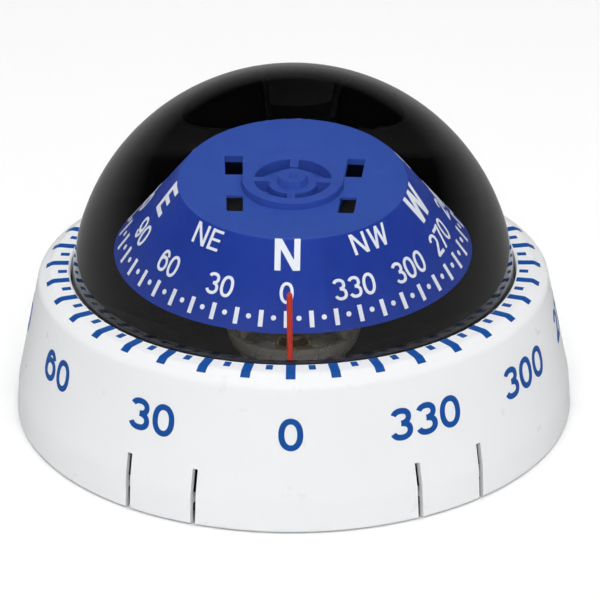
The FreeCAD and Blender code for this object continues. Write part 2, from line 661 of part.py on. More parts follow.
def magnet_carrier():
    """Hub with four spokes that shows on top of the card, and the two trays that hang below it."""
    recess = "card_top - 0.7"
    collar = "hub_high - 0.5"
    knob, tip = "hub_high + 0.6", "hub_high + 1.1"
    hub = turned("hub_body", [
        ("1.5", "tray_low"), ("2.5", "tray_low"), ("2.5", "card_top - 2"), ("hub_radius", "card_top - 2"),
        ("hub_radius", "hub_high"), ("hub_radius - 1.7", "hub_high"), ("hub_radius - 1.7", recess),
        ("3.6", recess), ("3.6", collar), ("2.3", collar), ("2.0", knob), ("0.7", knob), ("0.4", tip),
        ("0", tip), ("0", "card_top - 1.2"), ("1.5", "card_top - 1.2")])
    rounded(hub, "hub_round", 0.2, [("hub_radius", "hub_high"), ("hub_radius - 1.7", "hub_high")])
    pieces = [hub]
    for side in (-1, 1):
        name = "west" if side < 0 else "east"
        ends = ("3.4", "hub_radius - 1.4") if side > 0 else ("-hub_radius + 1.4", "-3.4")
        for axis, low, high in (("x", (ends[0], "-0.6"), (ends[1], "0.6")),
                                ("y", ("-0.6", ends[0]), ("0.6", ends[1]))):
            pieces.append(box(f"spoke_{axis}_{name}", (*low, f"{recess} - 0.1"), (*high, "hub_high - 0.1")))
        x = f"{side} * window_across"
        outer = box(f"tray_outer_{name}", (f"{x} - 1.85", "-7.9", "tray_low"),
                    (f"{x} + 1.85", "7.9", "card_top - 3.2"))
        inner = box(f"tray_inner_{name}", (f"{x} - 1.4", "-7.3", "tray_low + 0.6"),
                    (f"{x} + 1.4", "7.3", "card_top"))
        doc.recompute()
        pieces.append(cut(f"tray_{name}", outer, inner))
        web = ("2.2", "6.8") if side > 0 else ("-6.8", "-2.2")
        pieces.append(box(f"web_{name}", (web[0], "-1.6", "tray_low"), (web[1], "1.6", "tray_low + 1.4")))
    return keep(tilted(fused("carrier_whole", pieces)), "magnet_carrier")


def magnets():
    """Bar magnets, each drawn from its own low corner and seated in its tray."""
    for side, label in ((-1, "magnet_west"), (1, "magnet_east")):
        bar = doc.addObject("Part::Box", label + "_bar")
        bar.setExpression("Length", bound("magnet_width"))
        bar.setExpression("Width", bound("magnet_length"))
        bar.setExpression("Height", bound("magnet_height"))
        corner = Vector(side * value("window_across") - value("magnet_width") / 2,
                        -value("magnet_length") / 2, value("tray_low") + 0.6)
        tilted(bar)
        bar.Placement = bar.Placement.multiply(Placement(corner, Rotation()))
        keep(bar, label)


def jewel_bearing():
    mouth, seat = "pivot_height - 0.9", "pivot_height + 1.2"
    sleeve = turned("jewel_sleeve", [
        ("0.9", mouth), ("1.5", mouth), ("1.5", "card_top - 1.4"), ("0", "card_top - 1.4"), ("0", seat),
        ("0.9", seat)])
    keep(tilted(sleeve), "jewel_cup")
    stone = turned("jewel_stone", [
        ("0.75", "pivot_height - 0.7"), ("0.9", "pivot_height - 0.7"), ("0.9", seat), ("0", seat),
        ("0", "pivot_height")])
    keep(tilted(stone), "jewel")


# ---------------------------------------------------------------- build
course_ring()
mounting_base()
base_gasket()
dome()
bowl()
dome_seal()
screw_group("dome_screws", "flange_screw_circle", "0.75", "4.0", "1.8", "1.3", "flange_low", 8, 22.5)
screw_group("capsule_screws", "capsule_circle", "1.2", "capsule_shank", "2.3", "1.2",
            "(base_low + 1.3)", 4)
diaphragm()
diaphragm_cover()
screw_group("cover_screws", "cover_circle", "0.75", "5.6", "1.6", "1.0", "(bowl_low - 2)", 6)
fill_plug()
pin_retainers()
gimbal_ring()
lubber_pin()
gimbal_frame()
pivot_cup()
pivot_stack()
card()
magnet_carrier()
magnets()
jewel_bearing()
doc.recompute()

# ---------------------------------------------------------------- checks and export
for item in doc.Objects:
    if "Invalid" in item.State or "Error" in item.State:
        raise RuntimeError(f"{item.Name} failed: {item.State}")
for item in SUBPARTS:
    if item.Shape.isNull() or not item.Shape.isValid():
        raise RuntimeError(f"{item.Label} is not a valid shape")
for item in SUBPARTS:
    item.Shape.exportStep(f"parts/{item.Label}.step")
    bounds = item.Shape.BoundBox
    print(f"{item.Label:18s} solids {len(item.Shape.Solids)}  volume {item.Shape.Volume:10.2f} mm3  "
          f"z {bounds.ZMin:6.2f} to {bounds.ZMax:6.2f}")
print(len(SUBPARTS), "sub-parts")
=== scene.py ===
import json
import math

import bmesh
import bpy
from mathutils import Matrix, Vector
from mathutils.bvhtree import BVHTree
from mathutils.geometry import delaunay_2d_cdt


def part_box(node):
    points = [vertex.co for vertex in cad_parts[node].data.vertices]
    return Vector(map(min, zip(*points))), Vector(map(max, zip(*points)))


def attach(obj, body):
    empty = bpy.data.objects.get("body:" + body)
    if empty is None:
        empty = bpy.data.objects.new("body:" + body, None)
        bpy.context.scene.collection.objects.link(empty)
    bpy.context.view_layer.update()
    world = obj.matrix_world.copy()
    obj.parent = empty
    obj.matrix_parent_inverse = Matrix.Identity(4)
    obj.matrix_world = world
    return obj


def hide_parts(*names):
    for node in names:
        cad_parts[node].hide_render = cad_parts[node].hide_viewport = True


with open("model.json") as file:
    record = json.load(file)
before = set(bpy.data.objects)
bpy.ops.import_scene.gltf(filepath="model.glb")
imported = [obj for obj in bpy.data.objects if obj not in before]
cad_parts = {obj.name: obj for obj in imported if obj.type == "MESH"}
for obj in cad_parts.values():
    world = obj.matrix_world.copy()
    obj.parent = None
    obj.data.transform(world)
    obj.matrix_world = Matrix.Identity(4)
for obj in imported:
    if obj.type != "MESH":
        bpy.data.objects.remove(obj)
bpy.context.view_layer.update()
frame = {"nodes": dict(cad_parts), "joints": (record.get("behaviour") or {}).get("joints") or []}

# Metres. The compass axis is Z, the deck is z = 0 and the reader's side is -Y.
MM = 0.001
nodes = frame["nodes"]

# ---------------------------------------------------------------- sizes taken from the frame
_, ring_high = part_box("course_ring")
dome_low, dome_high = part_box("dome")
FOOT_RADIUS = ring_high.x                    # course ring at the deck
RING_TOP = ring_high.z                       # flat top of the course ring
FLANGE_RADIUS = dome_high.x
FLANGE_LOW = dome_low.z
DOME_TOP = dome_high.z

# Course ring, as in the CAD: the lower and upper end of its sloping face.
RING_KNEE_RADIUS = 53.55 * MM
RING_KNEE = 6.3 * MM
RING_SHOULDER_RADIUS = 49.0 * MM
RING_SHOULDER = 27.35 * MM

# Dome, as in the CAD: a hemisphere on a short upright band above a flange.
DOME_RADIUS = 42.6 * MM
DOME_WALL = 2.0 * MM
DOME_CENTRE = DOME_TOP - DOME_RADIUS
DOME_FLANGE = 2.2 * MM
FLANGE_HIGH = FLANGE_LOW + DOME_FLANGE
DOME_FOOT_ROUND = 0.6 * MM

# Card, as in the CAD: a cone that turns on the pivot and rests with a dip and a small heading.
PIVOT = Vector(next(j["pos_m"] for j in frame["joints"] if j["name"] == "card_turn"))
CARD_DIP = math.radians(1.9)
CARD_HEADING = math.radians(1.65)
CARD_TOP_RADIUS = 16.75 * MM
CARD_TOP = 39.9 * MM
CARD_RIM_RADIUS = 24.7 * MM
CARD_RIM = 26.65 * MM

# Refractive indices.
ACRYLIC = 1.49
FLUID = 1.43
SAPPHIRE_IN_FLUID = 1.24


# ---------------------------------------------------------------- objects
def new_object(name, shape, materials, place=Matrix.Identity(4)):
    """A linked object made from a bmesh, which is freed."""
    mesh = bpy.data.meshes.new(name)
    shape.to_mesh(mesh)
    shape.free()
    mesh.transform(place)
    for material in materials:
        mesh.materials.append(material)
    made = bpy.data.objects.new(name, mesh)
    bpy.context.scene.collection.objects.link(made)
    return made


# ---------------------------------------------------------------- node material helpers
def new_material(name, **sockets):
    """A Principled material with uniform values on the shader's own sockets."""
    made = bpy.data.materials.new(name)
    made.use_nodes = True
    shader = made.node_tree.nodes["Principled BSDF"]
    for label, amount in sockets.items():
        shader.inputs[label.replace("_", " ")].default_value = amount
    return made, made.node_tree, shader


def object_space(tree):
    return tree.nodes.new("ShaderNodeTexCoord").outputs["Object"]


def polar_space(tree, vector):
    """(radius, height, 0) of a point about the compass axis, for marks left by turning."""
    parts = tree.nodes.new("ShaderNodeSeparateXYZ")
    tree.links.new(vector, parts.inputs[0])
    flat = tree.nodes.new("ShaderNodeCombineXYZ")
    tree.links.new(parts.outputs["X"], flat.inputs["X"])
    tree.links.new(parts.outputs["Y"], flat.inputs["Y"])
    length = tree.nodes.new("ShaderNodeVectorMath")
    length.operation = "LENGTH"
    tree.links.new(flat.outputs[0], length.inputs[0])
    polar = tree.nodes.new("ShaderNodeCombineXYZ")
    tree.links.new(length.outputs["Value"], polar.inputs["X"])
    tree.links.new(parts.outputs["Z"], polar.inputs["Y"])
    return polar.outputs[0]


def noise(tree, vector, scale, detail=3.0, roughness=0.55):
    node = tree.nodes.new("ShaderNodeTexNoise")
    node.inputs["Scale"].default_value = scale
    node.inputs["Detail"].default_value = detail
    node.inputs["Roughness"].default_value = roughness
    tree.links.new(vector, node.inputs["Vector"])
    return node.outputs["Fac"]


def spread(tree, factor, low, high, from_low=0.3, from_high=0.7):
    """The factor carried from its usual range to low..high."""
    node = tree.nodes.new("ShaderNodeMapRange")
    node.inputs["From Min"].default_value = from_low
    node.inputs["From Max"].default_value = from_high
    node.inputs["To Min"].default_value = low
    node.inputs["To Max"].default_value = high
    tree.links.new(factor, node.inputs["Value"])
    return node.outputs["Result"]


def blended(tree, factor, first, second):
    """A colour between two others; each is an RGB triple or another node's output."""
    node = tree.nodes.new("ShaderNodeMix")
    node.data_type = "RGBA"
    tree.links.new(factor, node.inputs["Factor"])
    for side, colour in (("A", first), ("B", second)):
        socket = next(s for s in node.inputs if s.name == side and s.type == "RGBA")
        if isinstance(colour, bpy.types.NodeSocket):
            tree.links.new(colour, socket)
        else:
            socket.default_value = (*colour, 1.0)
    return next(s for s in node.outputs if s.type == "RGBA")


def bumped(tree, shader, height, distance, strength=1.0):
    node = tree.nodes.new("ShaderNodeBump")
    node.inputs["Distance"].default_value = distance
    node.inputs["Strength"].default_value = strength
    tree.links.new(height, node.inputs["Height"])
    tree.links.new(node.outputs["Normal"], shader.inputs["Normal"])


def surface(name, light, dark, rough, grain, bump, space=None, **sockets):
    """A surface mottled between two colours, with uneven gloss and a fine relief.

    rough is (smoothest, roughest); grain is (mottle scale, gloss scale, relief scale) per metre;
    bump is the relief's height in metres.
    """
    made, tree, shader = new_material(name, **sockets)
    vector = space(tree, object_space(tree)) if space else object_space(tree)
    mottle = spread(tree, noise(tree, vector, grain[0]), 0.0, 1.0)
    tree.links.new(blended(tree, mottle, light, dark), shader.inputs["Base Color"])
    gloss = spread(tree, noise(tree, vector, grain[1], 4.0), *rough)
    tree.links.new(gloss, shader.inputs["Roughness"])
    bumped(tree, shader, noise(tree, vector, grain[2], 2.0), bump)
    return made


def dress(names, material):
    """The material in every slot of these CAD nodes."""
    for name in names:
        mesh = nodes[name].data
        if not mesh.materials:
            mesh.materials.append(material)
        for number in range(len(mesh.materials)):
            mesh.materials[number] = material


# ---------------------------------------------------------------- materials
def card_blue():
    """The card's blue: the sloping cone is painted darker than the top disc as painted shade, for
    the overhead light that falls less on the slope.
    """
    made, tree, shader = new_material("card_blue", Specular_IOR_Level=0.06)
    vector = object_space(tree)
    # painted shade: the cone's blue is darker than the top disc's, standing for less overhead
    # light on the slope
    cone = blended(tree, spread(tree, noise(tree, vector, 240), 0.0, 1.0),
                   (0.017, 0.047, 0.325), (0.015, 0.042, 0.305))
    disc = blended(tree, spread(tree, noise(tree, vector, 300), 0.0, 1.0),
                   (0.037, 0.087, 0.400), (0.034, 0.081, 0.380))
    polar = polar_space(tree, vector)
    parts = tree.nodes.new("ShaderNodeSeparateXYZ")
    tree.links.new(polar, parts.inputs[0])
    # the top disc, which gets the lighter blue as painted light from overhead
    lit_disc_mask = spread(tree, parts.outputs["X"], 1.0, 0.0,
                    CARD_TOP_RADIUS - 0.05 * MM, CARD_TOP_RADIUS + 0.05 * MM)
    tree.links.new(blended(tree, lit_disc_mask, cone, disc), shader.inputs["Base Color"])
    tree.links.new(spread(tree, noise(tree, vector, 500), 0.42, 0.55), shader.inputs["Roughness"])
    bumped(tree, shader, noise(tree, vector, 3000, 2.0), 4e-6)
    return made


def glass(name, index, tint):
    """Clear moulded acrylic; its faces are polished, with a barely visible moulding wave."""
    made, tree, shader = new_material(name, Transmission_Weight=1.0, IOR=index, Roughness=0.0)
    vector = object_space(tree)
    tree.links.new(blended(tree, spread(tree, noise(tree, vector, 60), 0.0, 1.0), tint,
                           tuple(c * 0.995 for c in tint)), shader.inputs["Base Color"])
    bumped(tree, shader, noise(tree, vector, 45, 1.0), 2e-6)
    return made


RING_WHITE = surface("ring_white", (0.875, 0.885, 0.90), (0.845, 0.855, 0.872),
                     (0.27, 0.34), (28, 160, 320), 1.5e-6, Specular_IOR_Level=0.45)
BASE_DARK = surface("base_dark", (0.030, 0.027, 0.025), (0.022, 0.020, 0.019),
                    (0.45, 0.6), (120, 300, 1400), 4e-6, Specular_IOR_Level=0.2)
CARD_BLUE = card_blue()
HUB_BLUE = surface("hub_blue", (0.035, 0.081, 0.385), (0.031, 0.074, 0.360),
                   (0.40, 0.52), (260, 500, 2600), 6e-6, Specular_IOR_Level=0.08)
# Black plastic, set darker than the plastic's own colour so that the lit back wall of the bowl
# reads black: partly its colour, partly painted shade.
BOWL_BLACK = surface("bowl_black", (0.0065, 0.0060, 0.0058), (0.0045, 0.0042, 0.0042),
                     (0.36, 0.48), (160, 380, 1200), 2e-6, Specular_IOR_Level=0.08)
FOAM = surface("foam", (0.030, 0.030, 0.032), (0.018, 0.018, 0.019),
               (0.85, 0.95), (900, 700, 1600), 1.2e-4, Specular_IOR_Level=0.2)
RUBBER = surface("rubber", (0.028, 0.028, 0.029), (0.020, 0.020, 0.021),
                 (0.6, 0.75), (300, 420, 1500), 2e-5, Specular_IOR_Level=0.3)
STEEL_SCREWS = surface("screw_steel", (0.62, 0.61, 0.59), (0.52, 0.51, 0.50),
                       (0.22, 0.38), (500, 900, 2400), 6e-6, Metallic=1.0)
STEEL_PINS = surface("pin_steel", (0.66, 0.65, 0.63), (0.57, 0.56, 0.54),
                     (0.16, 0.26), (400, 900, 2600), 3e-6, Metallic=1.0)
BRASS = surface("turned_brass", (0.72, 0.54, 0.25), (0.60, 0.43, 0.18),
                (0.20, 0.36), (700, 1400, 5200), 5e-6, space=polar_space, Metallic=1.0)
STAMPED = surface("stamped_steel", (0.62, 0.58, 0.52), (0.48, 0.44, 0.39),
                  (0.22, 0.36), (240, 700, 500), 8e-6, Metallic=0.80)
RED = surface("red_moulding", (0.72, 0.055, 0.030), (0.66, 0.046, 0.026),
              (0.30, 0.40), (600, 900, 2600), 4e-6, Specular_IOR_Level=0.12)
MAGNET = surface("magnet", (0.085, 0.083, 0.082), (0.055, 0.054, 0.053),
                 (0.45, 0.60), (500, 700, 1800), 1.5e-5, Metallic=0.8)
SAPPHIRE = glass("sapphire", SAPPHIRE_IN_FLUID, (0.80, 0.86, 0.98))
RING_INK = surface("ring_ink", (0.004, 0.078, 0.335), (0.003, 0.070, 0.310),
                   (0.34, 0.46), (420, 700, 1200), 1e-6, Specular_IOR_Level=0.15)
CARD_INK = surface("card_ink", (0.86, 0.89, 0.93), (0.80, 0.84, 0.90),
                   (0.45, 0.56), (420, 700, 2600), 3e-6, Specular_IOR_Level=0.06)
DOME_AIR_FACE = glass("dome_air_face", ACRYLIC, (1.0, 1.0, 1.0))
DOME_FLUID_FACE = glass("dome_fluid_face", ACRYLIC / FLUID, (0.985, 0.99, 0.992))

dress(["course_ring"], RING_WHITE)
dress(["mounting_base"], BASE_DARK)
dress(["base_gasket"], FOAM)
dress(["bowl", "diaphragm_cover", "pin_retainers", "gimbal_ring", "gimbal_frame"], BOWL_BLACK)
dress(["dome_seal", "diaphragm", "fill_plug_seal"], RUBBER)
dress(["dome_screws", "capsule_screws", "cover_screws"], STEEL_SCREWS)
dress(["ring_pins", "frame_pins", "pivot_needle"], STEEL_PINS)
dress(["counterweight", "pivot_post", "post_nut", "jewel_cup", "fill_plug"], BRASS)
dress(["pivot_cup"], STAMPED)
dress(["lubber_pin"], RED)
dress(["card"], CARD_BLUE)
dress(["magnet_carrier"], HUB_BLUE)
dress(["magnet_west", "magnet_east"], MAGNET)
dress(["jewel"], SAPPHIRE)


# ---------------------------------------------------------------- dome
def arc(centre, radius, start, end, steps):
    """(radius, height) points of an arc about centre, from start to end degrees."""
    turns = [math.radians(start + (end - start) * step / steps) for step in range(steps + 1)]
    return [(centre[0] + radius * math.cos(turn), centre[1] + radius * math.sin(turn))
            for turn in turns]


def dome():
    """The clear dome, turned from one outline: its air face, then its fluid face."""
    around, steps, foot_steps = 256, 72, 6
    inner = DOME_RADIUS - DOME_WALL
    crown = (0.0, DOME_CENTRE)
    foot = (DOME_RADIUS + DOME_FOOT_ROUND, FLANGE_HIGH + DOME_FOOT_ROUND)
    air = [(inner, FLANGE_LOW), (FLANGE_RADIUS, FLANGE_LOW), (FLANGE_RADIUS, FLANGE_HIGH)]
    air += arc(foot, DOME_FOOT_ROUND, 270, 180, foot_steps)
    air += arc(crown, DOME_RADIUS, 0, 90, steps)
    outline = air + arc(crown, inner, 90, 0, steps)
    shape = bmesh.new()
    rings = []
    for radius, height in outline:
        if radius < 1e-7:
            rings.append([shape.verts.new((0.0, 0.0, height))])
            continue
        rings.append([shape.verts.new((radius * math.cos(math.tau * k / around),
                                       radius * math.sin(math.tau * k / around), height))
                      for k in range(around)])
    for number, low in enumerate(rings):
        high = rings[(number + 1) % len(rings)]
        if len(low) == 1 and len(high) == 1:
            continue
        wet = number >= len(air)
        for k in range(around):
            following = (k + 1) % around
            corners = [low[k % len(low)], low[following % len(low)],
                       high[following % len(high)], high[k % len(high)]]
            face = shape.faces.new(list(dict.fromkeys(corners)))
            face.material_index = 1 if wet else 0
            face.smooth = True
    bmesh.ops.recalc_face_normals(shape, faces=shape.faces)
    piece = new_object("dome_shell", shape, [DOME_AIR_FACE, DOME_FLUID_FACE])
    piece.data.set_sharp_from_angle(angle=math.radians(40))
    piece.visible_shadow = False
    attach(piece, "housing")
    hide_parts("dome")


# ---------------------------------------------------------------- lettering
# Signs are strokes in a cell one unit tall.
def oval(x, y, across, up, start, end, squareness=2.2):
    """Points of a slightly squared oval from start to end degrees, anticlockwise from +x."""
    count = max(3, round(abs(end - start) / 9))
    points = []
    for step in range(count + 1):
        turn = math.radians(start + (end - start) * step / count)
        c, s = math.cos(turn), math.sin(turn)
        points.append((x + across * math.copysign(abs(c) ** (2 / squareness), c),
                       y + up * math.copysign(abs(s) ** (2 / squareness), s)))
    return points


def ribbon(points, width, closed=False):
    """Four-sided pieces that follow a path with square ends."""
    count = len(points)
    sides = []
    for k, (x, y) in enumerate(points):
        before = points[k - 1] if k or closed else points[k]
        after = points[(k + 1) % count] if k + 1 < count or closed else points[k]
        if closed and k == 0:
            before = points[-2]
        if closed and k == count - 1:
            after = points[1]
        along = Vector((after[0] - before[0], after[1] - before[1])).normalized()
        sides.append(((x - along.y * width / 2, y + along.x * width / 2),
                      (x + along.y * width / 2, y - along.x * width / 2)))
    return [(sides[k][0], sides[k][1], sides[k + 1][1], sides[k + 1][0]) for k in range(count - 1)]


def slab(x0, y0, x1, y1, width, pieces=6):
    """A straight stroke whose ends are cut level; width is measured across."""
    made = []
    for k in range(pieces):
        a, b = k / pieces, (k + 1) / pieces
        xa, xb = x0 + (x1 - x0) * a, x0 + (x1 - x0) * b
        ya, yb = y0 + (y1 - y0) * a, y0 + (y1 - y0) * b
        made.append(((xa - width / 2, ya), (xa + width / 2, ya),
                     (xb + width / 2, yb), (xb - width / 2, yb)))
    return made


def rail(x0, x1, y, width, pieces=6):
    """A level stroke, centred on height y."""
    made = []
    for k in range(pieces):
        xa, xb = x0 + (x1 - x0) * k / pieces, x0 + (x1 - x0) * (k + 1) / pieces
        made.append(((xa, y - width / 2), (xb, y - width / 2),
                     (xb, y + width / 2), (xa, y + width / 2)))
    return made


def glyph(sign, wide, pen):
    """The strokes of one sign, centred on x = 0 in a cell of height 1.

    wide and pen are in the same unit.
    """
    edge = wide / 2                       # outer edge of the sign
    reach = edge - pen / 2                # centre line of an upright stroke
    low, high = pen / 2, 1 - pen / 2      # centre lines of the lowest and highest strokes
    middle = low + (high - low) * 0.53    # waist of 3, 5, 8 and S
    top_up, low_up = (high - middle) / 2, (middle - low) / 2
    if sign == "0":
        return ribbon(oval(0, 0.5, reach, 0.5 - pen / 2, 0, 360), pen, closed=True)
    if sign == "1":
        return slab(edge * 0.25, 0, edge * 0.25, 1, pen) + ribbon(
            [(-edge * 0.55, 0.70), (-edge * 0.1, 0.80), (edge * 0.2, 0.93)], pen * 0.85)
    if sign == "2":
        bend = oval(0, high - 0.26, reach, 0.26, 168, -30)
        return ribbon(bend + [(-reach + 0.02, pen * 0.8)], pen) + rail(-edge, edge, low, pen)
    if sign == "3":
        return (ribbon(oval(0, high - top_up, reach * 0.9, top_up, 160, -90), pen)
                + ribbon(oval(0, low + low_up, reach, low_up, 90, -162), pen))
    if sign == "4":
        stem = edge * 0.36
        return (slab(stem, 0, stem, 1, pen) + rail(-edge, edge, 0.26, pen)
                + slab(-edge + pen * 0.55, 0.26, stem, 1 - pen * 0.3, pen * 1.15))
    if sign == "5":
        return (rail(-reach * 0.8, reach, high, pen)
                + slab(-reach * 0.95, 0.46, -reach * 0.75, high, pen)
                + ribbon(oval(0, low + 0.27, reach, 0.27, 140, -160), pen))
    if sign in "69":
        bowl = 0.285
        strokes = (ribbon(oval(0, low + bowl, reach, bowl, 0, 360), pen, closed=True)
                   + ribbon(oval(0, low + bowl, reach, high - low - bowl, 180, 38), pen))
        if sign == "9":
            strokes = [tuple((-x, 1 - y) for x, y in piece) for piece in strokes]
        return strokes
    if sign == "7":
        return rail(-edge, edge, high, pen) + slab(-edge * 0.3, 0, reach, high, pen * 1.1)
    if sign == "8":
        return (ribbon(oval(0, high - top_up, reach * 0.88, top_up, 0, 360), pen, closed=True)
                + ribbon(oval(0, low + low_up, reach, low_up, 0, 360), pen, closed=True))
    if sign == "N":
        return (slab(-reach, 0, -reach, 1, pen) + slab(reach, 0, reach, 1, pen)
                + slab(reach - pen * 0.08, 0, -reach + pen * 0.08, 1, pen * 1.15))
    if sign == "E":
        return (slab(-reach, 0, -reach, 1, pen) + rail(-edge, edge, high, pen * 0.9)
                + rail(-edge, edge * 0.86, 0.51, pen * 0.85) + rail(-edge, edge, low, pen * 0.9))
    if sign == "W":
        return (slab(-reach, 1, -edge * 0.48, 0, pen) + slab(-edge * 0.48, 0, 0, 1, pen)
                + slab(0, 1, edge * 0.48, 0, pen) + slab(edge * 0.48, 0, reach, 1, pen))
    if sign == "S":
        return (ribbon(oval(0, high - top_up, reach * 0.95, top_up, 28, 270), pen)
                + ribbon(oval(0, low + low_up, reach, low_up, 90, -155), pen))
    raise ValueError(f"no strokes for {sign!r}")


LETTER_WIDTHS = {"N": 0.80, "E": 0.63, "W": 1.08, "S": 0.72}      # of the letter height


def word(text, tall, pen, digit_wide, gap):
    """The strokes of a word in metres, centred on the origin, from -tall / 2 to tall / 2."""
    widths = [LETTER_WIDTHS.get(sign, digit_wide / tall) * tall for sign in text]
    cursor = -(sum(widths) + gap * (len(text) - 1)) / 2
    strokes = []
    for sign, wide in zip(text, widths):
        centre = cursor + wide / 2
        for piece in glyph(sign, wide / tall, pen / tall):
            strokes.append([(centre + x * tall, (y - 0.5) * tall) for x, y in piece])
        cursor += wide + gap
    return strokes


def bar(wide, tall, pieces=5):
    """An upright mark, centred on the origin."""
    return slab(0, -tall / 2, 0, tall / 2, wide, pieces)


def dot(width, sides=20):
    """A round mark, centred on the origin."""
    turns = [math.tau * k / sides for k in range(sides)]
    return [[(width / 2 * math.cos(turn), width / 2 * math.sin(turn)) for turn in turns]]


# ---------------------------------------------------------------- ink on a surface
INK_PROUD = 0.05 * MM                                # its top above the surface
INK_SUNK = 0.03 * MM                                 # its underside below the surface
RAY_START = 5 * MM                                   # print rays start this far off the surface


def print_on(shape, strokes, spot):
    """Lay strokes on a surface as one thin closed layer of ink.

    spot(x, y) gives the surface point and its outward normal for a point of the flat artwork.
    """
    corners, faces = [], []
    for piece in strokes:
        first = len(corners)
        corners.extend(Vector(point) for point in piece)
        faces.append(list(range(first, first + len(piece))))
    flat, _, triangles, _, _, covered_by = delaunay_2d_cdt(corners, [], faces, 1, 1e-7)
    triangles = [triangle for triangle, cover in zip(triangles, covered_by) if cover]
    top, low = [], []
    for point in flat:
        place, normal = spot(point.x, point.y)
        top.append(shape.verts.new(place + normal * INK_PROUD))
        low.append(shape.verts.new(place - normal * INK_SUNK))
    for a, b, c in triangles:
        shape.faces.new((top[a], top[b], top[c]))
        shape.faces.new((low[c], low[b], low[a]))
    edges = dict.fromkeys(pair for a, b, c in triangles for pair in ((a, b), (b, c), (c, a)))
    for a, b in edges:
        if (b, a) not in edges:
            shape.faces.new((top[b], top[a], low[a], low[b]))


def surface_tree(name, place=Matrix.Identity(4)):
    """A search tree over a CAD node's faces, seen from the frame that place stands for."""
    mesh = nodes[name].data
    inverse = place.inverted()
    return BVHTree.FromPolygons([inverse @ v.co for v in mesh.vertices],
                                [tuple(p.vertices) for p in mesh.polygons])


def hit(tree, start, direction):
    """Where a ray meets the surface, and the normal there, facing the ray.

    Rays a hair apart are tried, since one can slip between two faces; the nearest meeting counts.
    """
    hair = Vector((1.0, 0.7, 0.4)) * 1e-7
    meetings = [tree.ray_cast(start + hair * step, direction) for step in (-1, 0, 1)]
    meetings = [meeting for meeting in meetings if meeting[0] is not None]
    if not meetings:
        raise RuntimeError(f"a print ray from {tuple(start)} misses")
    point, normal, _, _ = min(meetings, key=lambda meeting: meeting[3])
    return point, -normal if normal.dot(direction) > 0 else normal


def compass_direction(azimuth):
    """Unit vector at an azimuth in radians: 0 is the reader's side, clockwise from above."""
    return Vector((-math.sin(azimuth), -math.cos(azimuth), 0.0))


def ink_piece(name, shape, material, body, place=Matrix.Identity(4)):
    """The finished ink as one piece that rides on a body."""
    bmesh.ops.recalc_face_normals(shape, faces=shape.faces)
    for face in shape.faces:
        face.smooth = True
    piece = new_object(name, shape, [material], place)
    piece.data.set_sharp_from_angle(angle=math.radians(45))
    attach(piece, body)


TICK_STEP = 5                                        # degrees; every other mark is a long one
NUMBER_STEP = 30


# ---------------------------------------------------------------- course ring print
# inner radius, outer radius, width, and steps along it to follow the surface
LONG_TICK = (43.2 * MM, 47.5 * MM, 1.75 * MM, 30)
SHORT_TICK = (43.45 * MM, 45.15 * MM, 1.25 * MM, 4)
RING_NUMBER_HEIGHT = 18.7 * MM                       # centre of the numerals above the deck
RING_NUMBER = dict(tall=6.1 * MM, pen=1.10 * MM, digit_wide=4.5 * MM, gap=0.64 * MM)
RING_NUMBER_RADIUS = 50.85 * MM                      # of the cone there, to space the digits
RING_PRINT_HEADING = math.radians(-0.49)             # it is not quite square to the fingers
LONG_NUMBER_SHIFT = 1.0 * MM                         # three-digit numbers sit a little to the left


def ring_print():
    """Ticks on the course ring's top and degrees on its sloping face."""
    tree = surface_tree("course_ring")
    shape = bmesh.new()
    lean = math.atan2(RING_KNEE_RADIUS - RING_SHOULDER_RADIUS, RING_SHOULDER - RING_KNEE)

    def on_top(azimuth):
        """spot for artwork whose y is the radius."""
        direction = compass_direction(azimuth)
        across = Vector((-direction.y, direction.x, 0.0))

        def spot(x, y):
            start = direction * y + across * x + Vector((0, 0, RING_TOP + RAY_START))
            return hit(tree, start, Vector((0, 0, -1)))
        return spot

    def on_cone(azimuth):
        """spot for artwork centred at that azimuth, at the numerals' height."""
        def spot(x, y):
            direction = compass_direction(azimuth - x / RING_NUMBER_RADIUS)
            height = RING_NUMBER_HEIGHT + y * math.cos(lean)
            start = direction * (FOOT_RADIUS + RAY_START) + Vector((0, 0, height))
            return hit(tree, start, -direction)
        return spot

    for angle in range(0, 360, TICK_STEP):
        inner, outer, wide, pieces = SHORT_TICK if angle % (2 * TICK_STEP) else LONG_TICK
        centre = (inner + outer) / 2
        strokes = [[(x, y + centre) for x, y in piece]
                   for piece in bar(wide, outer - inner, pieces)]
        print_on(shape, strokes, on_top(math.radians(angle) + RING_PRINT_HEADING))
    for angle in range(0, 360, NUMBER_STEP):
        azimuth = math.radians(angle) + RING_PRINT_HEADING
        if angle >= 100:
            azimuth += LONG_NUMBER_SHIFT / RING_NUMBER_RADIUS
        print_on(shape, word(str(angle), **RING_NUMBER), on_cone(azimuth))
    ink_piece("ring_print", shape, RING_INK, "course_ring")


# ---------------------------------------------------------------- card print
CARD_NUMBER = dict(tall=3.5 * MM, pen=0.50 * MM, digit_wide=2.25 * MM, gap=0.30 * MM)
CARD_LETTER = dict(tall=5.1 * MM, pen=0.98 * MM, digit_wide=0.0, gap=0.0)
CARD_SMALL_LETTER = dict(tall=3.4 * MM, pen=0.50 * MM, digit_wide=0.0, gap=0.62 * MM)
CARD_NUMBER_RADIUS = 21.3 * MM
CARD_LETTER_RADIUS = 18.15 * MM
CARD_SMALL_LETTER_RADIUS = 17.95 * MM
CARD_BAR = (22.8 * MM, 24.2 * MM, 0.75 * MM)         # inner radius, outer radius, width
CARD_DOT = (23.4 * MM, 0.85 * MM)                    # centre radius, diameter
CARD_MARKS = {0: "N", 90: "E", 180: "S", 270: "W"}
CARD_SMALL_MARKS = {45: "NE", 135: "SE", 225: "SW", 315: "NW"}


